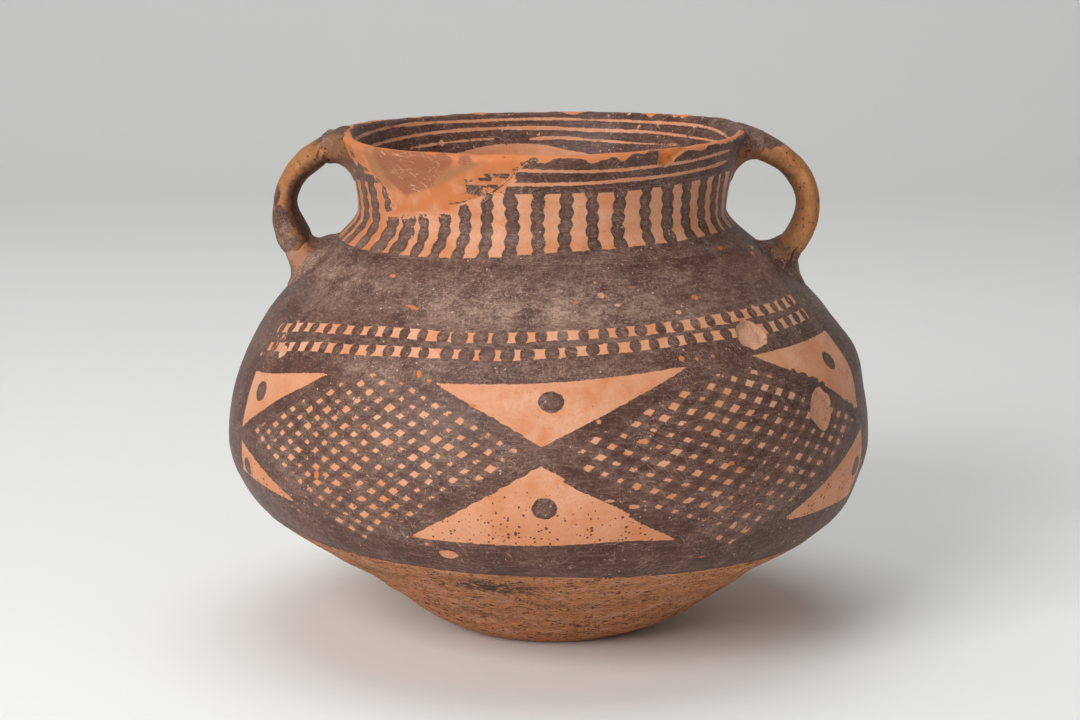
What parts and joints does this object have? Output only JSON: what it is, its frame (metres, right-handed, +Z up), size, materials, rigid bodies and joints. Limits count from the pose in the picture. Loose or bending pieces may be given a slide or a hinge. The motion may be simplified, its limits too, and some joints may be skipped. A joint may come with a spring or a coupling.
{
  "type": "painted pottery jar",
  "caption": "Low wide-bellied earthenware jar with a short flaring neck, a flat base and strap handles from rim to shoulder, painted with bands and net-filled lozenges.",
  "frame": {"origin": "centre of the flat base, on the surface that the jar stands on", "axes": "+Z up along the jar's axis, -Y towards the front of the picture, and the handles along -X (left) and +X (right)"},
  "size_m": [0.27, 0.27, 0.209],
  "materials": {
    "bare_clay": "unglazed fired clay, scraped and burnished",
    "painted_clay": "burnished clay painted with black-brown slip, worn",
    "handle_clay": "unglazed fired clay with worn remains of slip",
    "luting_clay": "smeared clay with worn remains of slip",
    "fill": "matt restorer's fill, scraped level"
  },
  "bodies": {
    "root": {"base_disc": "bare_clay", "lower_body": "painted_clay", "upper_body": "painted_clay", "neck": "painted_clay", "neck_fill": "fill", "left_handle": "handle_clay", "right_handle": "handle_clay", "left_upper_collar": "luting_clay", "left_lower_collar": "luting_clay", "right_upper_collar": "luting_clay", "right_lower_collar": "luting_clay"}
  },
  "joints": []
}
